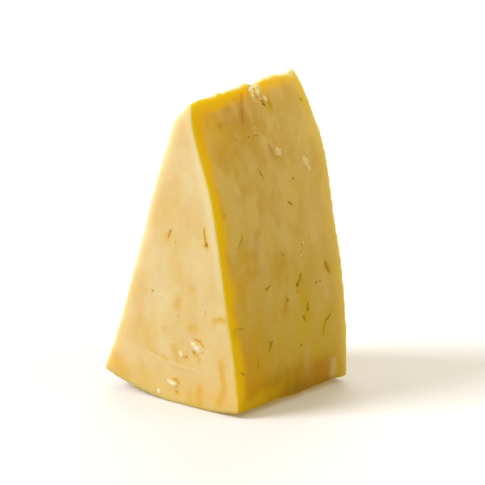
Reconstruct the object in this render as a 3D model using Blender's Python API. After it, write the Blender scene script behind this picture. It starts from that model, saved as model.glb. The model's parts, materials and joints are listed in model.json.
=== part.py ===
# A wedge of semi-hard cheese cut from a small wheel. It stands on the rim, with its tip up.
# Metres, +Z up. The wheel's axis runs along Y, and the wheel's front face looks along -Y.

import math

import bmesh
import bpy
from mathutils import Vector, noise

# The wheel
wheel_radius = 0.1228
thickness = 0.0612
rim_left = math.radians(18.95)          # where the rim ends at the straight cut, from straight down
rim_right_front = math.radians(11.3)    # where it ends at the curved cut, at the wheel's front face
rim_right_back = math.radians(10.2)     # and at its back face
standing_half_width = 0.0116     # the rim has settled flat where the wedge stands on it

# The straight cut, on the left, is a plane between the rim and these two points of the tip.
# Points are (across, above the rim's lowest point), measured from the wheel's centre line.
tip_left_front = (-0.0056, 0.1006)
tip_left_back = (-0.0092, 0.1048)

# The curved cut, on the right: height, then how far across at the wheel's front and back face.
# The knife ran out towards the tip, which leans in at the back.
curved_cut = (
    (0.0200, 0.0216, 0.0208),
    (0.0400, 0.0179, 0.0187),
    (0.0600, 0.0144, 0.0152),
    (0.0750, 0.0112, 0.0120),
    (0.0880, 0.0064, 0.0088),
    (0.0970, 0.0035, 0.0046),
    (0.1040, 0.0026, 0.0012),
    (0.1110, 0.0024, -0.0045),
)
ridge_front_height = 0.1081      # where the curved cut meets the oblique cut of the tip
ridge_back_height = 0.1110

# How finely the outline and the thickness are divided
left_rim_steps = 5
standing_steps = 4
right_rim_steps = 2
straight_steps = 22
curved_steps = 24
tip_steps = 2
sections = 10
edge_rounding = 0.0017
rounding_segments = 3

# Hollows in the surface: place (across, along the wheel's axis, up), radii, turn about X, Y, Z
hollows = {
    "ridge_bite": ((-0.0009, 0.0042, 0.1106), (0.0030, 0.0032, 0.0022), (0.2, 0, 0)),
    "ridge_crumble": ((0.0024, 0.0046, 0.1056), (0.0020, 0.0030, 0.0024), (0, 0, 0)),
    "large_slit": ((0.0180, 0.0067, 0.0411), (0.0009, 0.0008, 0.0024), (-0.58, 0, 0)),
    "curved_crack": ((0.0204, 0.0190, 0.0232), (0.0008, 0.0006, 0.0034), (-0.52, 0, 0)),
    "back_slit": ((0.0179, 0.0222, 0.0433), (0.0008, 0.0007, 0.0022), (0.42, 0, 0)),
    "pit": ((0.0178, -0.0102, 0.0411), (0.0008, 0.0008, 0.0009), (0, 0, 0)),
    "upper_crumb": ((0.0050, -0.0307, 0.0221), (0.0026, 0.0010, 0.0013), (0, 0.60, 0)),
    "lower_crumb": ((-0.0062, -0.0307, 0.0073), (0.0024, 0.0009, 0.0011), (0, 0.53, 0)),
    "upright_slit": ((0.0092, -0.0307, 0.0626), (0.0006, 0.0008, 0.0026), (0, -0.20, 0)),
}
cutter_roughness = 0.28          # how far a cutter's surface wanders, as a share of its radius
cutter_grain = 1.3               # how many wanders to one radius
wander_scale = 0.0017            # turns a hollow's place into its own piece of the noise


def mix(a, b, share):
    return a + (b - a) * share


def rim_height(across):
    """Height of the round rim above its own lowest point."""
    return wheel_radius - math.sqrt(wheel_radius**2 - across**2)


def right_foot(share):
    """Where the curved cut leaves the rim. share is 0 at the front face and 1 at the back."""
    across = wheel_radius * math.sin(mix(rim_right_front, rim_right_back, share))
    return across, rim_height(across)


def curved_cut_across(height, share):
    """Across position of the curved cut: a smooth curve through its foot and its stations."""
    foot_across, foot_height = right_foot(share)
    stations = [(foot_height, foot_across)]
    stations += [(h, mix(front, back, share)) for h, front, back in curved_cut]
    last = len(stations) - 1
    i = max(k for k in range(last) if stations[k][0] <= height or k == 0)
    (h0, x0), (h1, x1) = stations[i], stations[i + 1]
    t = (height - h0) / (h1 - h0)

    def slope(k):
        (ha, xa), (hb, xb) = stations[max(k - 1, 0)], stations[min(k + 1, last)]
        return (xb - xa) / (hb - ha) * (h1 - h0)

    return (
        (2 * t**3 - 3 * t**2 + 1) * x0
        + (t**3 - 2 * t**2 + t) * slope(i)
        + (3 * t**2 - 2 * t**3) * x1
        + (t**3 - t**2) * slope(i + 1)
    )


def rim_point(angle):
    """A point of the rim, angle from straight down, flattened where the wedge stands."""
    across = wheel_radius * math.sin(angle)
    return across, max(rim_height(across), standing_height)


standing_angle = math.asin(standing_half_width / wheel_radius)
standing_height = rim_height(standing_half_width)


def outline(share):
    """The wedge's outline at one place along the wheel's axis, anticlockwise from the left."""
    points = []
    for start, end, steps in (
        (-rim_left, -standing_angle, left_rim_steps),
        (-standing_angle, standing_angle, standing_steps),
        (standing_angle, mix(rim_right_front, rim_right_back, share), right_rim_steps),
    ):
        points += [rim_point(mix(start, end, k / steps)) for k in range(steps)]

    foot_height = right_foot(share)[1]
    ridge_height = mix(ridge_front_height, ridge_back_height, share)
    for k in range(curved_steps):
        height = mix(foot_height, ridge_height, k / curved_steps)
        points.append((curved_cut_across(height, share), height))

    ridge = Vector((curved_cut_across(ridge_height, share), ridge_height))
    tip_left = Vector(tip_left_front).lerp(Vector(tip_left_back), share)
    left_foot = Vector(rim_point(-rim_left))
    points += [ridge.lerp(tip_left, k / tip_steps) for k in range(tip_steps)]
    points += [tip_left.lerp(left_foot, k / straight_steps) for k in range(straight_steps)]
    return points


def cheese_material():
    material = bpy.data.materials.new("cheese_paste")
    material.use_nodes = True
    shader = material.node_tree.nodes["Principled BSDF"]
    shader.inputs["Base Color"].default_value = (0.80, 0.56, 0.20, 1.0)
    shader.inputs["Roughness"].default_value = 0.48
    shader.inputs["Metallic"].default_value = 0.0
    material.diffuse_color = (0.80, 0.56, 0.20, 1.0)
    return material


def build_wedge():
    """The sector as a closed loft along the wheel's axis, with its edges rounded."""
    mesh = bmesh.new()
    rings = []
    for s in range(sections + 1):
        share = s / sections
        y = mix(-thickness / 2, thickness / 2, share)
        ring = [mesh.verts.new((x, y, z - standing_height)) for x, z in outline(share)]
        rings.append(ring)
    count = len(rings[0])
    for near, far in zip(rings, rings[1:]):
        for k in range(count):
            n = (k + 1) % count
            mesh.faces.new((near[k], near[n], far[n], far[k]))
    mesh.faces.new(rings[0])
    mesh.faces.new(rings[-1][::-1])
    bmesh.ops.recalc_face_normals(mesh, faces=mesh.faces)

    data = bpy.data.meshes.new("cheese_wedge")
    mesh.to_mesh(data)
    mesh.free()
    data.shade_smooth()
    data.materials.append(cheese_material())
    wedge = bpy.data.objects.new("cheese_wedge", data)
    bpy.context.scene.collection.objects.link(wedge)

    bevel = wedge.modifiers.new("rounded edges", "BEVEL")
    bevel.width = edge_rounding
    bevel.segments = rounding_segments
    bevel.limit_method = "ANGLE"
    bevel.angle_limit = math.radians(24)
    return wedge


def hollow_out(wedge, name, place, radii, turn):
    """Cut one rough hollow out of the wedge with a wandering ball."""
    mesh = bmesh.new()
    bmesh.ops.create_icosphere(mesh, subdivisions=2, radius=1.0)
    for vert in mesh.verts:
        wander = noise.noise(vert.co * cutter_grain + Vector(place) / wander_scale)
        vert.co *= 1 + cutter_roughness * wander
    data = bpy.data.meshes.new(name)
    mesh.to_mesh(data)
    mesh.free()

    cutter = bpy.data.objects.new(name, data)
    bpy.context.scene.collection.objects.link(cutter)
    across, along, height = place
    cutter.location = (across, along, height - standing_height)
    cutter.scale = radii
    cutter.rotation_euler = turn
    cutter.parent = wedge
    cutter.hide_render = True
    cutter.display_type = "WIRE"

    cut = wedge.modifiers.new(name, "BOOLEAN")
    cut.operation = "DIFFERENCE"
    cut.solver = "EXACT"
    cut.object = cutter


def stand_on_origin(wedge):
    """Move the wedge so that the middle of its footprint's box is the origin."""
    bpy.context.view_layer.update()
    corners = wedge.evaluated_get(bpy.context.evaluated_depsgraph_get()).bound_box
    for axis in (0, 1):
        along = [corner[axis] for corner in corners]
        wedge.location[axis] = -(min(along) + max(along)) / 2


for old in list(bpy.data.objects):
    bpy.data.objects.remove(old, do_unlink=True)

cheese_wedge = build_wedge()
for hollow, (place, radii, turn) in hollows.items():
    hollow_out(cheese_wedge, hollow, place, radii, turn)
stand_on_origin(cheese_wedge)
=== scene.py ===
import json
import math
import random

import bmesh
import bpy
import numpy as np
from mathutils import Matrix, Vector, noise
from mathutils.kdtree import KDTree


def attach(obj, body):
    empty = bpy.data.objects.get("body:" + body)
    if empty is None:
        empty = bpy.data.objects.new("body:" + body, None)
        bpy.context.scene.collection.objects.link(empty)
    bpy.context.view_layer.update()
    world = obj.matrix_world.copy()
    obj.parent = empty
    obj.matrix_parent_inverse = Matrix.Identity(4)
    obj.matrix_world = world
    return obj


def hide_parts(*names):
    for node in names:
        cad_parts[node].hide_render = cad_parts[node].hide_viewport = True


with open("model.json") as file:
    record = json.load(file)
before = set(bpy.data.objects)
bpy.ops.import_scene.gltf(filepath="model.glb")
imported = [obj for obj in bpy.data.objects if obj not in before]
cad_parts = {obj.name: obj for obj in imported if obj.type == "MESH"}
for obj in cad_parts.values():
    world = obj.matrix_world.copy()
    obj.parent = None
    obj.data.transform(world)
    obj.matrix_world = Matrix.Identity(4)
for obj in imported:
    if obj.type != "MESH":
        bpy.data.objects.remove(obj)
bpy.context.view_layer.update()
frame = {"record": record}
print("frame loaded")

mm = 0.001


# The body: a sector of a small wheel, standing on its rim. Lengths in mm, in the wheel's own
# frame: across from its centre line, and up from the rim's lowest point.
wedge = {
    "wheelRadius": 122.8,
    "thickness": 61.2,
    "rimLeft": math.radians(18.95),         # ends of the rim, from straight down
    "rimRightFront": math.radians(11.3),
    "rimRightBack": math.radians(10.2),
    "standingHalfWidth": 11.6,              # the rim has settled flat where it stands
    "tipLeftFront": (-5.6, 100.6),          # top of the straight cut
    "tipLeftBack": (-9.2, 104.8),
    "curvedCut": (                          # height, across at the front, across at the back
        (20.0, 21.6, 21.2),
        (40.0, 17.9, 19.0),
        (60.0, 14.4, 15.3),
        (75.0, 11.2, 12.6),
        (88.0, 6.4, 9.1),
        (97.0, 3.5, 4.6),
        (104.0, 2.6, 1.2),
        (111.0, 2.4, -4.5),
    ),
    "ridgeFront": 108.1,
    "ridgeBack": 111.0,
    # the straight cut's bow: height, shift across
    "straightBow": (
        (6, 0.0), (10, 0.5), (15, 1.0), (30, 1.2), (46, 0.9), (58, 0.4), (70, -0.4), (84, -0.2), (94, 0.0),
    ),
    # unevenness of the top and of the right foot: depth into the wedge, lift
    "ridgeWave": (
        (-30, 0.0), (-2, 0.1), (0.5, 1.1), (2.5, 0.0), (4.5, -0.6), (7, -0.5),
        (10, 0.2), (18, 0.1), (26, -0.7), (29, 0.1), (30.6, 0.5),
    ),
    "footWave": ((-30, 0.0), (-16, 0.1), (-8, 0.5), (2, 0.1), (14, 0.6), (21, 1.0), (27, 0.8), (30, 0.3)),
    "step": 2.0,                            # spacing of the first, coarse outline
    "tipSteps": 4,
    "grain": 0.74,                          # spacing of the fine skin
    "softening": 4,                         # rounds that wear the edges down
    "topSoftening": 10,                     # more rounds for the thin top, the most worn
    "topFrom": 97.0,
    "wave": 0.25,                           # how far the faces wander from true
    "waveLength": 15.0,
    "drag": 0.03,                           # shallow upright ridges that the knife dragged
    "dragLength": 3.6,
    "nibble": 0.16,                         # unevenness along the edges
    "nibbleLength": 3.0,
    "raggedLength": 0.9,                    # raggedness of the marks' outlines
    "lumpLength": 1.1,                      # and of the crumbs
    "markMargins": (1.3, 0.55),             # the skin is split once more this near to a mark
}

# Which way each face looks, and its own across and up.
faces = {
    "front": ((0, -1, 0), (1, 0, 0), (0, 0, 1)),
    "back": ((0, 1, 0), (-1, 0, 0), (0, 0, 1)),
    "curved": ((1, 0, 0.1), (0, 1, 0), (0, 0, 1)),
    "straight": ((-0.94, 0, 0.34), (0, -1, 0), (0, 0, 1)),
    "rim": ((0, 0, -1), (1, 0, 0), (0, 1, 0)),
    "tip": ((-0.64, 0, 0.77), (0, 1, 0), (0, 0, 1)),
}

standingFace = frame["record"]["mounts"][0]["pos_m"]
wheelAcross = standingFace[0] / mm         # the wheel's centre line, in the row frame


def mix(a, b, share):
    return a + (b - a) * share


def rimHeight(across):
    return wedge["wheelRadius"] - math.sqrt(wedge["wheelRadius"] ** 2 - across**2)


standingHeight = rimHeight(wedge["standingHalfWidth"])


def rightFoot(share):                       # share is 0 at the front face and 1 at the back
    angle = mix(wedge["rimRightFront"], wedge["rimRightBack"], share)
    across = wedge["wheelRadius"] * math.sin(angle)
    return across, rimHeight(across)


def curvedAcross(height, share):            # a smooth curve through the cut's stations
    footAcross, footHeight = rightFoot(share)
    stations = [(footHeight, footAcross)]
    stations += [(h, mix(a, b, share)) for h, a, b in wedge["curvedCut"]]
    last = len(stations) - 1
    i = max(k for k in range(last) if stations[k][0] <= height or k == 0)
    (h0, x0), (h1, x1) = stations[i], stations[i + 1]
    t = (height - h0) / (h1 - h0)

    def slope(k):
        (ha, xa), (hb, xb) = stations[max(k - 1, 0)], stations[min(k + 1, last)]
        return (xb - xa) / (hb - ha) * (h1 - h0)

    return (
        (2 * t**3 - 3 * t**2 + 1) * x0
        + (t**3 - 2 * t**2 + t) * slope(i)
        + (3 * t**2 - 2 * t**3) * x1
        + (t**3 - t**2) * slope(i + 1)
    )


def along(stations, place):
    places, values = zip(*stations)
    return float(np.interp(place, places, values))


def outline(share):                         # anticlockwise from the rim's left end
    depth = (share - 0.5) * wedge["thickness"]
    radius = wedge["wheelRadius"]
    standing = math.asin(wedge["standingHalfWidth"] / radius)
    rightEnd = mix(wedge["rimRightFront"], wedge["rimRightBack"], share)
    points = []
    footLift = along(wedge["footWave"], depth)
    steps = round(wedge["rimRightFront"] * radius / wedge["step"])
    for start, end in ((-wedge["rimLeft"], -standing), (-standing, standing), (standing, rightEnd)):
        for k in range(steps):
            across = radius * math.sin(mix(start, end, k / steps))
            lift = footLift * (k / steps) ** 2 if start > 0 else 0.0
            points.append((across, max(rimHeight(across), standingHeight) + lift))

    ridgeHeight = mix(wedge["ridgeFront"], wedge["ridgeBack"], share) + along(wedge["ridgeWave"], depth)
    footHeight = rightFoot(share)[1]
    steps = round(wedge["ridgeFront"] / wedge["step"])
    for k in range(steps):
        height = mix(footHeight, ridgeHeight, k / steps)
        lift = footLift * max(0.0, 1 - k / 6)
        points.append((curvedAcross(height, share), height + lift))

    ridge = Vector((curvedAcross(ridgeHeight, share), ridgeHeight))
    tipLeft = Vector(wedge["tipLeftFront"]).lerp(Vector(wedge["tipLeftBack"]), share)
    leftAcross = -radius * math.sin(wedge["rimLeft"])
    leftFoot = Vector((leftAcross, rimHeight(leftAcross)))
    tipSteps = wedge["tipSteps"]
    points += [ridge.lerp(tipLeft, k / tipSteps) for k in range(tipSteps)]
    for k in range(steps):
        across, height = tipLeft.lerp(leftFoot, k / steps)
        points.append((across + along(wedge["straightBow"], height), height))
    return points


def meshArrays(mesh):
    spots = np.zeros(len(mesh.vertices) * 3, np.float32)
    mesh.vertices.foreach_get("co", spots)
    looks = np.zeros(len(mesh.vertices) * 3, np.float32)
    mesh.vertices.foreach_get("normal", looks)
    return spots.reshape(-1, 3).astype(float) / mm, looks.reshape(-1, 3).astype(float)


def setSpots(mesh, spots):
    mesh.vertices.foreach_set("co", (spots * mm).astype(np.float32).ravel())
    mesh.update()


def relax(mesh, rounds, above=-1.0):        # moves points towards the mean of their neighbours
    spots = meshArrays(mesh)[0]
    share = 0.5 * np.clip((spots[:, 2] - above) / 4.0, 0, 1)
    ends = np.zeros(len(mesh.edges) * 2, np.int32)
    mesh.edges.foreach_get("vertices", ends)
    a, b = ends.reshape(-1, 2).T
    count = len(spots)
    degree = np.bincount(a, minlength=count) + np.bincount(b, minlength=count)
    for _ in range(rounds):
        for axis in range(3):
            line = spots[:, axis]
            total = np.bincount(a, line[b], count) + np.bincount(b, line[a], count)
            spots[:, axis] = mix(line, total / degree, share)
    setSpots(mesh, spots)


def buildSkin():
    loft = bmesh.new()
    rings = []
    steps = round(wedge["thickness"] / wedge["step"])
    for s in range(steps + 1):
        y = mix(-0.5, 0.5, s / steps) * wedge["thickness"]
        ring = []
        for x, z in outline(s / steps):
            ring.append(loft.verts.new(Vector((x + wheelAcross, y, z - standingHeight)) * mm))
        rings.append(ring)
    count = len(rings[0])
    for near, far in zip(rings, rings[1:]):
        for k in range(count):
            n = (k + 1) % count
            loft.faces.new((near[k], near[n], far[n], far[k]))
    loft.faces.new(rings[0])
    loft.faces.new(rings[-1][::-1])
    bmesh.ops.recalc_face_normals(loft, faces=loft.faces)
    coarse = bpy.data.meshes.new("wedgeLoft")
    loft.to_mesh(coarse)
    loft.free()

    lump = bpy.data.objects.new("wedgeLoft", coarse)
    bpy.context.scene.collection.objects.link(lump)
    remesh = lump.modifiers.new("fine skin", "REMESH")
    remesh.mode = "VOXEL"
    remesh.voxel_size = wedge["grain"] * mm
    bpy.context.view_layer.update()
    skin = bpy.data.meshes.new_from_object(lump.evaluated_get(bpy.context.evaluated_depsgraph_get()))
    bpy.data.objects.remove(lump)
    bpy.data.meshes.remove(coarse)
    relax(skin, wedge["softening"], -4.0)
    relax(skin, wedge["topSoftening"], wedge["topFrom"])
    return skin


skin = buildSkin()
print("fine skin:", len(skin.vertices), "points")


# Marks on the two open faces, as (kind, path, width, amount). A path runs across and up its face.
marks = {
    "front": [
        ("amberSlit", ((-0.5, 58.5), (0.0, 60.0), (1.0, 61.5)), 0.8, 0.35),
        ("stain", ((-1.0, 57.5), (-0.5, 59.0)), 1.4, 0.5),
        ("amberSlit", ((16.0, 64.0), (16.5, 61.0), (17.0, 58.5)), 0.9, 0.4),
        ("amberSlit", ((17.0, 59.5), (17.5, 57.5)), 1.9, 0.45),
        ("crack", ((17.0, 58.0),), 0.5, 0.4),
        ("amberSlit", ((-8.0, 38.5),), 0.8, 0.3),
        ("ridge", ((-3.5, 39.5), (-1.5, 40.0)), 0.8, 0.10),
        ("ridge", ((-7.0, 37.5), (-3.5, 37.5), (-0.5, 36.5)), 0.9, 0.14),
        ("stain", ((4.5, 37.5), (3.5, 35.5)), 2.2, 0.7),
        ("stain", ((10.5, 42.0),), 2.2, 0.35),
        ("stain", ((-2.5, 26.0),), 1.8, 0.5),
        ("stain", ((9.0, 28.0), (12.0, 28.5)), 1.8, 0.6),
        ("crack", ((4.0, 31.5),), 0.45, 0.4),
        ("crack", ((16.5, 36.0), (16.5, 34.0)), 0.3, 0.12),
        ("stain", ((20.5, 32.5), (23.0, 33.5), (25.0, 33.5)), 1.6, 0.9),
        ("crack", ((22.5, 33.5), (24.5, 34.0)), 0.4, 0.15),
        # the big crumb: an ochre hollow above it and its painted ochre shadow below
        ("amberSlit", ((11.0, 24.5), (14.0, 24.0), (16.0, 22.0)), 1.1, 0.4),
        ("amberSlit", ((10.5, 20.0), (12.5, 18.5)), 1.5, 0.4),
        ("stain", ((13.0, 19.0), (13.5, 16.5)), 1.2, 0.7),
        ("crumb", ((10.5, 23.0), (14.5, 20.5)), 1.7, 0.8),
        # a small crumb: its painted ochre shade to the left and a pit to the right
        ("stain", ((2.0, 20.0), (3.5, 16.0)), 1.8, 0.6),
        ("amberSlit", ((7.5, 17.5),), 1.0, 0.4),
        ("crumb", ((5.0, 18.5), (6.0, 17.0)), 1.9, 0.6),
        ("ridge", ((-12.0, 16.5), (-6.0, 15.0), (-1.0, 14.0), (4.5, 13.5), (11.5, 13.5)), 1.6, 0.12),
        ("stain", ((-9.0, 17.0), (-6.5, 16.5)), 1.2, 0.6),
        ("stain", ((-4.0, 16.0), (-1.5, 15.0)), 1.4, 0.6),
        # the lower crumb: ochre hollows above and its painted ochre shadow below
        ("amberSlit", ((1.5, 8.5), (3.0, 8.5), (4.5, 7.0)), 0.9, 0.35),
        ("amberSlit", ((2.5, 4.5), (4.0, 3.5)), 1.3, 0.35),
        ("crumb", ((-0.5, 7.5), (2.5, 6.5)), 1.7, 0.7),
        ("crumb", ((-6.0, 3.0), (-4.5, 2.5)), 1.4, 0.25),
        ("stain", ((23.5, 18.0), (25.0, 9.0), (22.5, 4.0)), 2.0, 0.9),
        ("stain", ((13.5, 7.5), (13.5, 1.5)), 1.8, 0.8),
        ("stain", ((9.0, 5.0), (9.5, 1.5)), 1.6, 0.5),
        ("stain", ((20.0, 26.0), (22.0, 12.0)), 8.0, 0.2),
        ("stain", ((-25.0, 10.0), (-23.0, 7.0)), 4.0, 0.6),
        ("stain", ((-14.0, 25.0), (-10.5, 19.5)), 4.5, 0.4),
        ("stain", ((-13.5, 9.0), (-11.0, 6.5)), 4.0, 0.35),
    ],
    "curved": [
        ("crack", ((-18.0, 60.5), (-18.5, 59.0), (-21.0, 56.5)), 0.55, 0.6),
        ("brownMarkAndShade", ((-11.0, 59.5), (-12.5, 52.5)), 2.6, 0.25),
        ("crack", ((0.0, 52.0), (1.0, 50.0)), 0.4, 0.3),
        ("crack", ((11.0, 52.5),), 0.6, 0.4),
        ("crack", ((10.0, 50.0),), 0.6, 0.4),
        ("crumb", ((12.0, 53.0),), 0.8, 0.2),
        ("crumb", ((10.0, 49.0),), 0.8, 0.2),
        ("crack", ((7.0, 68.0), (9.0, 66.5)), 0.7, 0.5),
        ("stain", ((8.0, 66.5), (9.5, 66.0)), 1.6, 0.5),
        ("amberSlit", ((21.5, 45.0), (22.0, 43.0), (23.5, 40.5)), 1.2, 0.35),
        ("brownMarkAndShade", ((22.0, 44.0), (23.0, 41.5)), 1.4, 0.4),
        ("crack", ((16.0, 38.5),), 0.9, 0.4),
        ("crack", ((17.5, 38.0), (18.0, 39.0), (18.5, 38.0)), 0.4, 0.3),
        ("cleft", ((8.5, 43.0), (7.5, 40.5)), 1.5, 1.2),
        ("cleft", ((7.5, 41.0), (5.5, 38.5)), 1.5, 1.0),
        ("stain", ((7.0, 39.0), (8.5, 41.5)), 2.4, 0.7),
        ("crack", ((5.5, 37.0),), 0.7, 0.6),
        ("cleft", ((-9.5, 40.5),), 1.5, 0.9),
        ("crack", ((-9.5, 40.5), (-7.5, 41.5)), 0.8, 0.4),
        ("brownMarkAndShade", ((-6.5, 42.0),), 1.0, 0.3),
        ("brownMarkAndShade", ((0.0, 35.5), (-1.5, 32.5)), 1.8, 0.45),
        ("crack", ((0.0, 35.5), (0.5, 34.5)), 0.5, 0.3),
        ("amberSlit", ((10.5, 32.5), (9.5, 29.5)), 1.3, 0.5),
        ("crack", ((10.5, 30.5), (10.0, 29.0)), 0.6, 0.4),
        ("amberSlit", ((7.0, 28.5), (8.5, 26.0)), 1.3, 0.5),
        ("crack", ((7.0, 28.5), (8.0, 27.0)), 0.5, 0.4),
        ("crack", ((22.0, 26.0), (19.0, 24.0), (18.0, 22.0)), 0.9, 0.35),
        ("amberSlit", ((18.0, 22.5), (17.0, 19.0)), 0.9, 0.3),
        ("amberSlit", ((-27.0, 30.5), (-25.5, 30.0), (-23.5, 29.5)), 0.6, 0.2),
        ("stain", ((-28.5, 28.5), (-27.5, 30.0)), 1.0, 0.9),
        ("crack", ((-11.5, 23.0), (-10.5, 22.0), (-12.0, 19.5)), 0.7, 0.3),
        ("crack", ((-9.0, 23.0), (-10.5, 22.0)), 0.45, 0.35),
        ("crack", ((5.0, 18.5),), 0.9, 0.5),
        ("crack", ((-18.0, 18.0), (-18.5, 14.5)), 0.4, 0.25),
        ("amberSlit", ((-27.5, 15.5), (-26.0, 14.5)), 0.8, 0.3),
        ("crack", ((1.0, 5.0), (4.5, 4.0)), 0.4, 0.2),
        ("crack", ((-4.5, 81.5), (-3.0, 77.0)), 0.5, 0.3),
        ("ridge", ((-5.0, 82.5), (-4.0, 80.0)), 0.7, 0.15),
        ("crack", ((-1.0, 95.0),), 0.55, 0.5),
        ("crack", ((-5.0, 91.5),), 0.7, 0.6),
        ("crack", ((-2.5, 91.5), (0.0, 91.5)), 0.3, 0.12),
        ("crack", ((17.5, 89.0),), 0.6, 0.6),
        ("crack", ((26.0, 100.0),), 0.9, 0.3),
        ("brownMarkAndShade", ((-17.5, 97.0),), 1.8, 0.5),
        ("stain", ((-17.5, 97.0),), 2.6, 0.5),
        ("amberSlit", ((-25.5, 68.5),), 0.7, 0.2),
        ("cleft", ((6.0, 102.0), (7.0, 100.5)), 1.0, 0.6),
        # painted shade of a soft crease below the top
        ("brownMarkAndShade", ((-3.5, 105.5), (-5.0, 101.5), (-6.0, 96.5)), 1.1, 0.6),
        ("brownMarkAndShade", ((-4.5, 103.0), (-6.0, 97.0)), 4.0, 0.25),
        ("brownMarkAndShade", ((-8.0, 104.5), (-6.0, 104.5)), 1.4, 0.3),
        ("brownMarkAndShade", ((-13.0, 102.5), (-13.5, 98.0)), 3.4, 0.18),
        # painted shadow beside the crumbs in the top notch
        ("brownMarkAndShade", ((9.5, 102.0), (10.0, 100.0)), 1.6, 0.45),
        # painted shade beside the lump
        ("brownMarkAndShade", ((3.5, 87.5), (4.0, 84.5)), 1.4, 0.45),
        ("lump", ((6.0, 86.5), (7.0, 84.0)), 3.4, 0.8),
        ("lump", ((18.5, 81.0), (19.5, 79.0)), 3.0, 0.35),
        ("lump", ((20.0, 78.5), (20.5, 77.0)), 1.8, 0.3),
        ("crumb", ((1.5, 107.0), (2.0, 104.0)), 3.0, 2.2),
        ("crumb", ((5.0, 107.0), (5.5, 103.5)), 2.5, 2.4),
        ("crumb", ((7.0, 103.5), (8.0, 102.0)), 1.4, 1.0),
        ("ridge", ((9.5, 95.0), (11.0, 92.0)), 1.3, 0.12),
        ("ridge", ((15.5, 94.5), (17.0, 90.0), (18.0, 86.5)), 1.5, 0.14),
        ("ridge", ((-11.5, 94.0), (-9.5, 90.5)), 1.3, 0.12),
        ("stain", ((-5.5, 21.5),), 1.8, 0.6),
        ("stain", ((-13.0, 20.0), (-12.0, 22.0)), 2.0, 0.5),
        ("stain", ((9.0, 34.5), (9.5, 28.0)), 2.8, 1.0),
        ("stain", ((3.0, 30.0), (5.0, 26.0)), 2.6, 0.5),
        ("stain", ((18.5, 25.0), (16.5, 20.5)), 2.2, 0.7),
        ("stain", ((12.5, 17.0), (12.0, 13.0)), 2.2, 0.4),
        ("stain", ((-4.0, 60.0), (-3.0, 56.0)), 3.0, 0.3),
        ("stain", ((12.0, 74.0), (14.0, 71.0)), 3.0, 0.35),
        ("stain", ((3.0, 22.0), (7.5, 23.0)), 2.4, 0.5),
        ("stain", ((4.0, 20.0), (5.0, 18.0)), 2.0, 0.5),
        ("stain", ((25.0, 8.5), (25.0, 4.0)), 1.6, 0.8),
        ("stain", ((22.5, 14.5),), 1.8, 0.6),
        # painted shadow beside the crumbs in the top notch
        ("stain", ((9.0, 102.5), (9.0, 99.0)), 2.2, 0.9),
        ("brownMarkAndShade", ((9.0, 8.0), (17.0, 7.0)), 6.0, 0.35),
        ("bloom", ((22.5, 8.5), (22.0, 5.0)), 3.0, 0.28),
        ("bloom", ((8.0, 16.5), (7.5, 9.0)), 3.4, 0.1),
        ("bloom", ((-9.5, 57.0), (-10.0, 50.0)), 3.2, 0.12),
        ("bloom", ((-17.5, 74.0), (-18.0, 68.0)), 3.0, 0.12),
        ("bloom", ((17.0, 60.0), (18.0, 54.0)), 4.0, 0.12),
        ("bloom", ((20.5, 38.0), (21.0, 33.0)), 3.4, 0.12),
    ],
}
# what each kind of mark does: how it moves the skin, and which colours it lays on; hollow is painted shade
# inside an opening, brown is brown marks and painted shade
kinds = {
    "crack": {"dig": 1.0, "hollow": 0.8, "ochre": 0.7, "pale": 0.0},
    "slit": {"dig": 1.0, "hollow": 0.85, "ochre": 1.0, "pale": 0.0},
    "cleft": {"dig": 1.0, "hollow": 1.2, "ochre": 1.0, "pale": 0.0},
    "amberSlit": {"dig": 1.0, "hollow": 0.3, "ochre": 1.0, "pale": 0.0},
    "crumb": {"dig": -1.0, "hollow": 0.0, "ochre": 0.0, "pale": 1.0},
    "lump": {"dig": -1.0, "hollow": 0.0, "ochre": 0.0, "pale": 0.5},
    "ridge": {"dig": -1.0, "hollow": 0.0, "ochre": 0.0, "pale": 0.12},
    "stain": {"dig": 0.0, "hollow": 0.0, "ochre": 1.0, "pale": 0.0},
    "brownMarkAndShade": {"dig": 0.0, "hollow": 0.0, "ochre": 0.0, "pale": 0.0, "brown": 1.0},
    "bloom": {"dig": 0.0, "hollow": 0.0, "ochre": 0.0, "pale": 1.0},
}
# marks that chance adds to each face: how many, their seed and their size
scattered = {
    "front": (5, 31, 0.25),
    "curved": (6, 32, 0.25),
    "back": (34, 13, 1.0),
    "straight": (46, 14, 1.0),
    "rim": (14, 15, 0.6),
    "tip": (4, 16, 0.5),
}
# hollows eaten out of the top edge: centre in the row frame, radii, way in
bites = (
    ((7.5, 4.2, 110.3), (7.0, 3.4, 3.2), (0, 0, -1)),
    ((11.4, 4.4, 106.0), (3.0, 4.2, 4.6), (-1, 0, 0)),
)


def faceOf(looks):                          # the face that each point belongs to
    names = list(faces)
    towards = np.array([Vector(faces[name][0]).normalized() for name in names])
    return np.array(names)[(looks @ towards.T).argmax(1)]


def onFace(spots, face):
    return np.stack([spots @ np.array(faces[face][1]), spots @ np.array(faces[face][2])], 1)


def pathDistance(points, path):             # how far each point is from a path, and where along it
    path = np.array(path, float)
    if len(path) == 1:
        return np.linalg.norm(points - path[0], axis=1), np.full(len(points), 0.5)
    best = np.full(len(points), 1e9)
    along = np.zeros(len(points))
    lengths = np.linalg.norm(np.diff(path, axis=0), axis=1)
    walked = 0.0
    for start, end, length in zip(path, path[1:], lengths):
        t = np.clip(((points - start) @ (end - start)) / length**2, 0, 1)
        gap = np.linalg.norm(points - start - t[:, None] * (end - start), axis=1)
        nearer = gap < best
        best[nearer] = gap[nearer]
        along[nearer] = (walked + t[nearer] * length) / lengths.sum()
        walked += length
    return best, along


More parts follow.
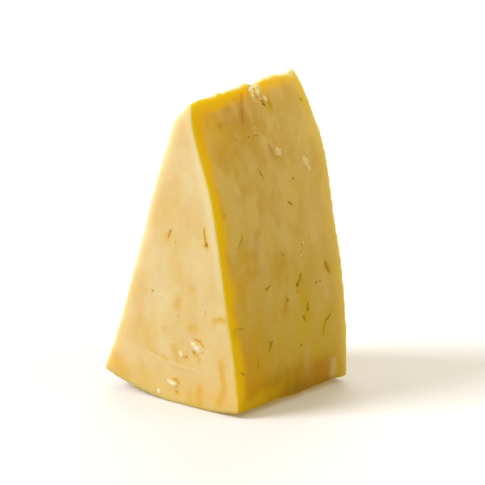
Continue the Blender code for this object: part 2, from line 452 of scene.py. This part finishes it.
def scatterMarks(spots, sides):             # mostly upright openings, a stain or a crumb here and there
    for face, (count, seed, size) in scattered.items():
        chance = random.Random(seed)
        choices = np.flatnonzero(sides == face)
        laid = marks.setdefault(face, [])
        for _ in range(count):
            spot = onFace(spots[[choices[chance.randrange(len(choices))]]], face)[0]
            kind = chance.choice(("crack", "crack", "crack", "slit", "amberSlit", "stain", "stain", "crumb"))
            length = size * chance.choice((0.0, 0.6, 1.2, 2.4, 3.6))
            lean = math.radians(90 + chance.gauss(0, 28))
            half = np.array((math.cos(lean), math.sin(lean))) * length / 2
            bend = np.array((chance.gauss(0, 0.12), chance.gauss(0, 0.12))) * length
            path = (spot - half, spot + bend, spot + half) if length else (spot,)
            width = mix(0.4, 1.2, chance.random() ** 2) * mix(0.7, 1.0, size)
            if kind in ("stain", "crumb"):
                width *= 1.7
            amount = width * chance.uniform(0.4, 0.8)
            laid.append((kind, path, width, min(amount, 0.7)))


rawSpots, rawLooks = meshArrays(skin)
scatterMarks(rawSpots, faceOf(rawLooks))


def roomToMarks(spots, sides):              # distance of each point from the edge of any mark
    room = np.full(len(spots), 99.0)
    for face in faces:
        here = np.flatnonzero(sides == face)
        flat = onFace(spots[here], face)
        for kind, path, width, _ in marks[face]:
            if kinds[kind]["dig"]:
                room[here] = np.minimum(room[here], pathDistance(flat, path)[0] - width / 2)
    for centre, radii, _ in bites:
        away = np.linalg.norm((spots - centre) / radii, axis=1)
        room = np.minimum(room, (away - 1) * max(radii))
    return room


def refine(mesh, margins):                  # splits the skin's faces again around the marks
    fine = bmesh.new()
    fine.from_mesh(mesh)
    for margin in margins:
        fine.normal_update()
        spots = np.array([v.co for v in fine.verts]) / mm
        looks = np.array([v.normal for v in fine.verts])
        near = roomToMarks(spots, faceOf(looks)) < margin
        fine.verts.index_update()
        edges = [e for e in fine.edges if near[e.verts[0].index] and near[e.verts[1].index]]
        bmesh.ops.subdivide_edges(fine, edges=edges, cuts=1, use_grid_fill=True)
    bmesh.ops.triangulate(fine, faces=[f for f in fine.faces if len(f.verts) > 4])
    fine.to_mesh(mesh)
    fine.free()


def wander(spots, scale, seed):             # smooth noise from -1 to 1 at every point
    shift = Vector((seed * 17.3, seed * 9.1, seed * 5.7))
    stretched = spots / np.array(scale)
    return np.array([noise.noise(Vector(p) + shift) for p in stretched])


refine(skin, wedge["markMargins"])
print("refined skin:", len(skin.vertices), "points")


def markEdges(mesh):                        # how far each point lies in from the nearest edge
    spots, looks = meshArrays(mesh)
    sides = faceOf(looks)
    ends = np.zeros(len(mesh.edges) * 2, np.int32)
    mesh.edges.foreach_get("vertices", ends)
    a, b = ends.reshape(-1, 2).T
    rims = np.unique(a[sides[a] != sides[b]])
    tree = KDTree(len(rims))
    for k, index in enumerate(rims):
        tree.insert(spots[index], k)
    tree.balance()
    layer = mesh.attributes.new("inward", "FLOAT", "POINT")
    layer.data.foreach_set("value", np.array([tree.find(p)[2] for p in spots], np.float32))


def shapeFaces(mesh):                       # long waves, the knife's drag and worn edges
    spots, looks = meshArrays(mesh)
    long = wedge["waveLength"]
    drag = wedge["dragLength"]
    nibble = wedge["nibbleLength"]
    move = wedge["wave"] * wander(spots, (long, long, long * 1.6), 1)
    move += wedge["drag"] * wander(spots, (drag, drag, drag * 4), 2)
    flatness = np.max(np.abs(looks), axis=1)
    worn = np.clip((0.97 - flatness) / 0.2, 0, 1)
    move += wedge["nibble"] * wander(spots, (nibble,) * 3, 3) * worn
    held = np.clip(spots[:, 2] / 2.0, 0, 1)  # the standing face stays true
    setSpots(mesh, spots + looks * (move * held)[:, None])


def carve(mesh):
    spots, looks = meshArrays(mesh)
    sides = faceOf(looks)
    paint = {name: np.zeros(len(spots)) for name in ("hollow", "ochre", "pale", "brown")}
    move = np.zeros_like(spots)
    ragged = np.stack([wander(spots, (wedge["raggedLength"],) * 3, seed) for seed in (4, 5)], 1)
    lumps = wander(spots, (wedge["lumpLength"],) * 3, 6)
    for face in faces:
        here = np.flatnonzero(sides == face)
        flat = onFace(spots[here], face)
        for kind, path, width, amount in marks[face]:
            does = kinds[kind]
            gap, share = pathDistance(flat + ragged[here] * width * 0.3, path)
            if len(path) > 1 and does["dig"]:           # narrower towards both ends
                gap /= mix(0.45, 1.0, np.sin(np.pi * np.clip(share, 0.03, 0.97)))
            q = gap / (width / 2)
            if does["dig"] > 0:                         # a hollow with a low lip around it
                shape = np.clip(1.15 - q**2, 0, 1)
                lip = 0.10 * width * np.exp(-(((q - 1.35) / 0.35) ** 2))
                move[here] += looks[here] * (lip - amount * shape)[:, None]
                strength = 1.0
            elif does["dig"] < 0:                       # a raised crumb covers what is below it
                shape = np.sqrt(np.clip(1 - q**2, 0, 1)) * (1 + 0.3 * lumps[here])
                move[here] += looks[here] * (amount * shape)[:, None]
                strength = 1.0
                paint["hollow"][here] *= 1 - np.clip(shape * 2, 0, 1) * does["pale"]
            else:                                       # colour only
                shape = np.exp(-((q * 0.9) ** 2))
                strength = amount
            for name, layer in paint.items():
                reach = np.exp(-((q * 0.6) ** 2)) if name == "ochre" else np.clip(shape * 1.3, 0, 1)
                layer[here] = np.maximum(layer[here], does.get(name, 0.0) * strength * reach)
    spots += move

    for centre, radii, way in bites:                    # pushed in along its way to the bite's floor
        way = np.array(way, float)
        offset = (spots - centre) / radii * (1 + 0.22 * ragged[:, :1])
        side = offset - np.outer(offset @ way, way)
        reach = 1 - (side**2).sum(1)
        wanted = np.sqrt(np.clip(reach, 0, 1))
        push = np.where(reach > 0, np.clip(wanted - offset @ way, 0, None), 0)
        inside = (np.abs(offset @ way) < 1) & (reach > 0)
        amount = np.where(inside, push * np.abs(way @ np.array(radii)), 0)
        spots += np.outer(amount * (1 + 0.25 * lumps), way)
        paint["ochre"] = np.maximum(paint["ochre"], np.clip(amount / 1.5, 0, 0.9))
    spots[:, 2] = np.maximum(spots[:, 2], 0)
    setSpots(mesh, spots)
    for name, values in paint.items():
        layer = mesh.attributes.new(name, "FLOAT", "POINT")
        layer.data.foreach_set("value", values.astype(np.float32))


markEdges(skin)
shapeFaces(skin)
carve(skin)
skin.shade_smooth()
print("openings and crumbs carved")


# Shader sockets written as values, so that the paste's colour reads as arithmetic.
class Wire:
    def __init__(self, bench, socket):
        self.bench = bench
        self.socket = socket

    def joined(self, operation, first, second):
        return self.bench.node("ShaderNodeMath", {"operation": operation}, {0: first, 1: second})

    def __add__(self, other):
        return self.joined("ADD", self, other)

    def __radd__(self, other):
        return self.joined("ADD", other, self)

    def __sub__(self, other):
        return self.joined("SUBTRACT", self, other)

    def __rsub__(self, other):
        return self.joined("SUBTRACT", other, self)

    def __mul__(self, other):
        return self.joined("MULTIPLY", self, other)

    def __rmul__(self, other):
        return self.joined("MULTIPLY", other, self)


class Bench:
    def __init__(self, owner, shader="Principled BSDF"):
        owner.use_nodes = True
        self.owner = owner
        self.tree = owner.node_tree
        self.shader = self.tree.nodes[shader]

    def node(self, kind, settings=None, sockets=None, out=0):
        made = self.tree.nodes.new(kind)
        for name, value in (settings or {}).items():
            setattr(made, name, value)
        self.plug(made, sockets or {})
        return Wire(self, made.outputs[out])

    def plug(self, made, sockets):
        for name, value in sockets.items():
            if isinstance(value, Wire):
                self.tree.links.new(value.socket, made.inputs[name])
            else:
                made.inputs[name].default_value = value

    def blend(self, share, first, second):
        settings = {"data_type": "RGBA"}
        return self.node("ShaderNodeMix", settings, {0: share, 6: first, 7: second}, 2)

    def fit(self, value, span, start=0.0, end=1.0):    # eases from start to end over the span
        sockets = {0: value, 1: span[0], 2: span[1], 3: start, 4: end}
        return self.node("ShaderNodeMapRange", {"interpolation_type": "SMOOTHSTEP"}, sockets)

    def stretch(self, vector, scale):
        return self.node("ShaderNodeVectorMath", {"operation": "MULTIPLY"}, {0: vector, 1: scale})

    def noise(self, vector, scale, detail=2.0, rough=0.5):
        sockets = {"Vector": vector, "Scale": scale, "Detail": detail, "Roughness": rough}
        return self.node("ShaderNodeTexNoise", None, sockets)

    def mask(self, name):
        return self.node("ShaderNodeAttribute", {"attribute_name": name}, None, 2)


def tone(red, green, blue):                 # a paint chip's 0-255 values as scene colour
    def linear(value):
        value /= 255
        return value / 12.92 if value <= 0.04045 else ((value + 0.055) / 1.055) ** 2.4

    return (linear(red), linear(green), linear(blue), 1.0)


paste = {
    "wheelPale": tone(237, 218, 170),       # the wheel's two flat faces
    "wheelDeep": tone(233, 202, 137),
    "cutPale": tone(229, 201, 122),         # the faces cut with the knife: partly their own deeper colour, partly painted shade of the shaded side
    "cutDeep": tone(217, 176, 76),
    "cutLow": tone(213, 177, 20),           # towards the rim: partly the paste's deeper colour, partly painted shade low on the face
    "edgeGlowYellow": tone(248, 206, 0),        # painted light: the yellow glow of light passing through the thin cut edges
    # amber by the rim: partly the paste near the rind, partly painted shade near the ground
    "rimAmber": tone(192, 148, 0),
    "rimBright": tone(218, 156, 0),         # the same, by the near edge, brighter with painted light passing through it
    "footShadeBrown": tone(140, 100, 0),          # painted shade: the last few mm of the paste, where the face turns under
    "rimWarm": tone(238, 198, 112),
    "topHighlightCream": tone(244, 224, 168),        # painted highlight: the up-facing top, pale where the light falls on it
    "farEdgeLight": tone(233, 216, 128),        # painted light: lighter towards the far edge
    "edgeHighlightCream": tone(246, 234, 202),       # painted highlight: the wheel's faces beside a cut edge, where the rounded edge catches the light
    "ochre": tone(218, 184, 0),             # stains on the cut faces, and warmer on the wheel's
    "ochreWarm": tone(228, 178, 40),
    # brown: brown marks, and painted shade in creases and beside crumbs
    "brown": tone(194, 124, 24),
    # painted shade inside the openings
    "hollow": tone(108, 76, 0),
    "curd": tone(253, 240, 208),
    "roughness": 0.46,
    "scatterShare": 0.8,
    "scatterRadius": (1.0, 0.75, 0.12),
    "scatterScale": 8.0 * mm,
    "shine": 0.12,
    "bumpStrength": 0.28,
    "bumpDepth": 0.35 * mm,
}

# where each tint starts and ends, in mm
zones = {
    "rimCut": (5.0, 15.0),                  # in from the wheel's rim
    "rimWheel": (0.0, 15.0),
    "footShade": (1.0, 7.0),
    "edge": (1.5, 6.5),                     # in from the nearest edge
    "edgeHighlight": (0.5, 4.5),
    "foot": (12.0, 62.0),                   # up from the standing face
    "edgeFoot": (0.0, 12.0),
    "edgeHighlightFoot": (32.0, 56.0),
    "topGlow": (84.0, 100.0),
    "topBand": (94.0, 104.0),
    "nearSideGlow": (-30.0, -6.0),              # from the front of the wedge to the back
    "nearEdge": (-20.0, 5.0),
    "footShadeNear": (-31.0, -22.0),
    "footShadeFar": (16.0, 31.0),
    "rimFar": (14.0, 31.0),
    "farSideLight": (-5.0, 20.0),
    "farEdge": (21.0, 31.0),
    "topHighlightSpan": (-10.0, 20.0),
}


def pasteMaterial():
    b = Bench(bpy.data.materials.new("cheesePaste"))
    place = b.node("ShaderNodeTexCoord", None, None, 3)
    spot = b.stretch(place, (1 / mm,) * 3)                    # in mm
    look = b.node("ShaderNodeNewGeometry", None, None, 1)

    # how far in from the wheel's rim
    wheelCentre = (wheelAcross, 0.0, wedge["wheelRadius"] - standingHeight)
    arm = b.node("ShaderNodeVectorMath", {"operation": "SUBTRACT"}, {0: spot, 1: wheelCentre})
    radius = b.node("ShaderNodeVectorMath", {"operation": "LENGTH"}, {0: b.stretch(arm, (1, 0, 1))}, 1)
    fromRim = wedge["wheelRadius"] - radius

    # the faces cut with the knife look sideways; the tints, painted shade and light among them, are weaker
    # on the straight one, which faces the light, and strongest on the shaded curved one
    sideways = b.node("ShaderNodeSeparateXYZ", None, {0: look}, 0)
    upwards = b.node("ShaderNodeSeparateXYZ", None, {0: look}, 2)
    depth = b.node("ShaderNodeSeparateXYZ", None, {0: spot}, 1)
    height = b.node("ShaderNodeSeparateXYZ", None, {0: spot}, 2)
    cut = b.fit(b.node("ShaderNodeMath", {"operation": "ABSOLUTE"}, {0: sideways}), (0.42, 0.85))
    shadedSide = b.fit(sideways, (-0.3, 0.3), 0.35, 1.0)

    # patches of several sizes, drawn out upright
    broad = b.fit(b.noise(b.stretch(spot, (1, 1, 0.7)), 0.085, 3.0, 0.55), (0.34, 0.66))
    patches = b.fit(b.noise(b.stretch(spot, (1, 1, 0.35)), 0.17, 1.5, 0.45), (0.48, 0.70))
    mottle = b.fit(b.noise(spot, 0.33, 3.0, 0.55), (0.28, 0.72))
    ragged = b.noise(b.stretch(spot, (1, 1, 0.6)), 0.20, 3.0, 0.6) - 0.5
    drift = b.noise(b.stretch(spot, (1, 1, 0.7)), 0.12, 2.0, 0.45) - 0.5

    # the wheel's flat faces
    rimSpot = fromRim + ragged * 8.0
    inward = b.mask("inward")
    wheel = b.blend(broad * 0.7 + mottle * 0.3, paste["wheelPale"], paste["wheelDeep"])
    wheel = b.blend(b.fit(rimSpot, zones["rimWheel"], 0.7, 0.0), wheel, paste["rimWarm"])
    # painted highlight along the wheel's faces beside the cut edges
    edgeHighlight = b.fit(inward, zones["edgeHighlight"], 0.55, 0.0) * b.fit(height, zones["edgeHighlightFoot"])
    wheel = b.blend(edgeHighlight, wheel, paste["edgeHighlightCream"])

    # the cut faces: deeper and amber towards the rim, partly the paste's own colour and partly painted
    # shade; painted light glows yellow by the edges and the near side, and lightens the far side and the top
    nearSideGlow = b.fit(depth + drift * 14.0, zones["nearSideGlow"], 1.0, 0.0)
    foot = b.fit(height + drift * 20.0, zones["foot"], 1.0, 0.0)
    pattern = broad * 0.8 + mottle * 0.3 - patches * 0.8
    knifed = b.blend(pattern * (0.4 + shadedSide * 0.6), paste["cutPale"], paste["cutDeep"])
    # painted light: paler towards the far side
    knifed = b.blend(b.fit(depth, zones["farSideLight"], 0.0, 0.4), knifed, paste["cutPale"])
    # deeper and darker towards the bottom: partly the paste near the rind, partly painted shade
    knifed = b.blend(foot * 0.7, knifed, paste["cutLow"])
    # painted light: brighter amber low on the near side
    knifed = b.blend(nearSideGlow * foot * 0.65 * shadedSide, knifed, paste["rimBright"])

    # amber towards the rim, partly painted shade, brighter by the near side as painted light
    rimCut = b.fit(rimSpot, zones["rimCut"], 1.0, 0.0) * b.fit(depth, zones["rimFar"], 1.0, 0.5)
    rimTone = b.blend(nearSideGlow, paste["rimAmber"], paste["rimBright"])
    knifed = b.blend(rimCut * shadedSide, knifed, rimTone)
    # painted shade along the foot of the cut face
    footShade = b.fit(rimSpot, zones["footShade"], 0.8, 0.0) * b.fit(depth, zones["footShadeNear"])
    footShade = footShade * b.fit(depth, zones["footShadeFar"], 1.0, 0.3)
    knifed = b.blend(footShade * shadedSide, knifed, paste["footShadeBrown"])

    # painted light: a yellow glow by the edges, the near side and the top, where light passes through
    near = b.fit(depth, zones["nearEdge"], 0.8, 0.0)
    top = b.fit(height, zones["topBand"], 0.0, 0.7)
    edge = b.fit(inward + drift * 6.0, zones["edge"], 1.0, 0.0) * b.fit(height, zones["edgeFoot"], 0.25, 1.0)
    edge = edge * (near + top + 0.16)
    glow = nearSideGlow * (b.fit(height, zones["topGlow"], 0.0, 0.45) + 0.22)
    knifed = b.blend((edge * shadedSide + glow) * shadedSide, knifed, paste["edgeGlowYellow"])
    # painted light by the far edge
    knifed = b.blend(b.fit(depth, zones["farEdge"], 0.0, 0.55) * shadedSide, knifed, paste["farEdgeLight"])
    # painted highlight on up-facing surfaces near the top
    leaning = upwards + b.fit(depth, zones["topHighlightSpan"], 0.2, 0.0)
    knifed = b.blend(b.fit(leaning, (0.6, 0.85), 0.0, 0.85), knifed, paste["topHighlightCream"])

    # the marks
    colour = b.blend(cut, wheel, knifed)
    stain = b.blend(cut, paste["ochreWarm"], paste["ochre"])
    colour = b.blend(b.mask("ochre") * 0.8, colour, stain)
    # brown marks, and painted shade in creases and beside crumbs
    colour = b.blend(b.mask("brown") * 0.9, colour, paste["brown"])
    # painted shade inside the openings, stronger on the shaded cut face
    colour = b.blend(b.mask("hollow") * (0.2 + shadedSide * cut * 0.6), colour, paste["hollow"])
    colour = b.blend(b.mask("pale") * 0.95, colour, paste["curd"])

    # fine relief
    grain = b.noise(spot, 1.6, 5.0, 0.65)
    curd = b.node(
        "ShaderNodeTexVoronoi",
        {"feature": "SMOOTH_F1"},
        {"Vector": b.stretch(spot, (1, 1, 0.6)), "Scale": 0.35, "Smoothness": 0.6},
    )
    bump = b.node("ShaderNodeBump", None, {
        "Height": grain * 0.5 + curd * 0.25 + patches * 0.2,
        "Strength": paste["bumpStrength"],
        "Distance": paste["bumpDepth"],
    })
    b.plug(b.shader, {
        "Base Color": colour,
        "Roughness": paste["roughness"] + (grain - 0.5) * 0.3 + b.mask("hollow") * 0.25,
        "Normal": bump,
        "Subsurface Weight": paste["scatterShare"],
        "Subsurface Radius": paste["scatterRadius"],
        "Subsurface Scale": paste["scatterScale"],
        "Specular IOR Level": paste["shine"],
    })
    return b.owner


cheese = bpy.data.objects.new("cheeseWedge", skin)
bpy.context.scene.collection.objects.link(cheese)
skin.materials.clear()
skin.materials.append(pasteMaterial())
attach(cheese, "root")
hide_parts("cheese_wedge")
print("paste coloured")


# The studio: a pale floor, a broad soft light from the left, a weaker one from behind, a small
# warm card at the right and a dim warm surround. Angles are in degrees, as a camera would stand.
studio = {
    "floorTone": (0.90, 0.91, 1.0, 1.0),
    "floorSize": 12.0,
    "floorDrop": 0.1 * mm,                  # just clear of the standing face
    "suns": {                               # azimuth, elevation, strength, softness
        "keyLight": (-38.0, 38.0, 2.3, 26.0),
        "backLight": (-140.0, 30.0, 0.9, 40.0),
    },
    "sideAzimuth": 125.0,
    "sideElevation": 30.0,
    "sideDistance": 220 * mm,
    "sideSize": 120 * mm,
    "sidePower": 0.074,
    "sideTone": (1.0, 0.84, 0.52),
    "surroundUp": (0.63, 0.575, 0.42, 1.0),
    "surroundDown": (0.49, 0.445, 0.28, 1.0),
    "cameraAzimuth": 41.3,
    "cameraElevation": 13.5,
    "cameraAim": Vector((13.7, -8.3, 55.0)) * mm,
    "cameraDistance": 955.9 * mm,
    "cameraView": 10.0,
}


def towards(azimuth, elevation):
    a, e = math.radians(azimuth), math.radians(elevation)
    return Vector((math.sin(a) * math.cos(e), -math.cos(a) * math.cos(e), math.sin(e)))


def buildFloor():
    bpy.ops.mesh.primitive_plane_add(size=studio["floorSize"])
    floor = bpy.context.object
    floor.name = "studioFloor"
    b = Bench(bpy.data.materials.new("studioFloor"))
    b.plug(b.shader, {"Base Color": studio["floorTone"], "Roughness": 0.9})
    floor.data.materials.append(b.owner)
    floor.location.z = -studio["floorDrop"]
    floor.visible_diffuse = False           # the surround lights the wedge, not the floor


def buildSun(name, azimuth, elevation, strength, softness):
    light = bpy.data.lights.new(name, "SUN")
    light.energy = strength
    light.angle = math.radians(softness)
    lamp = bpy.data.objects.new(name, light)
    lamp.rotation_euler = towards(azimuth, elevation).to_track_quat("Z", "Y").to_euler()
    bpy.context.scene.collection.objects.link(lamp)


def buildSideCard():
    light = bpy.data.lights.new("sideCard", "AREA")
    light.energy = studio["sidePower"]
    light.size = studio["sideSize"]
    light.color = studio["sideTone"]
    card = bpy.data.objects.new("sideCard", light)
    out = towards(studio["sideAzimuth"], studio["sideElevation"])
    card.location = studio["cameraAim"] + out * studio["sideDistance"]
    card.rotation_euler = out.to_track_quat("Z", "Y").to_euler()
    bpy.context.scene.collection.objects.link(card)


def buildSurround():                        # a dim room, a little darker towards the ground
    world = bpy.data.worlds.new("studioSurround")
    bpy.context.scene.world = world
    b = Bench(world, "Background")
    place = b.node("ShaderNodeTexCoord", None, None, 0)
    rise = b.node("ShaderNodeSeparateXYZ", None, {0: place}, 2)
    share = b.node("ShaderNodeMapRange", None, {0: rise, 1: -0.5, 2: 0.3})
    b.plug(b.shader, {"Color": b.blend(share, studio["surroundDown"], studio["surroundUp"])})


def buildCamera():
    lens = bpy.data.cameras.new("camera")
    lens.angle = math.radians(studio["cameraView"])
    lens.clip_end = 50
    camera = bpy.data.objects.new("camera", lens)
    back = towards(studio["cameraAzimuth"], studio["cameraElevation"])
    camera.location = studio["cameraAim"] + back * studio["cameraDistance"]
    camera.rotation_euler = back.to_track_quat("Z", "Y").to_euler()
    bpy.context.scene.collection.objects.link(camera)
    bpy.context.scene.camera = camera


buildFloor()
for name, (azimuth, elevation, strength, softness) in studio["suns"].items():
    buildSun(name, azimuth, elevation, strength, softness)
buildSideCard()
buildSurround()
buildCamera()
bpy.context.scene.view_settings.view_transform = "Standard"
print("studio lit")
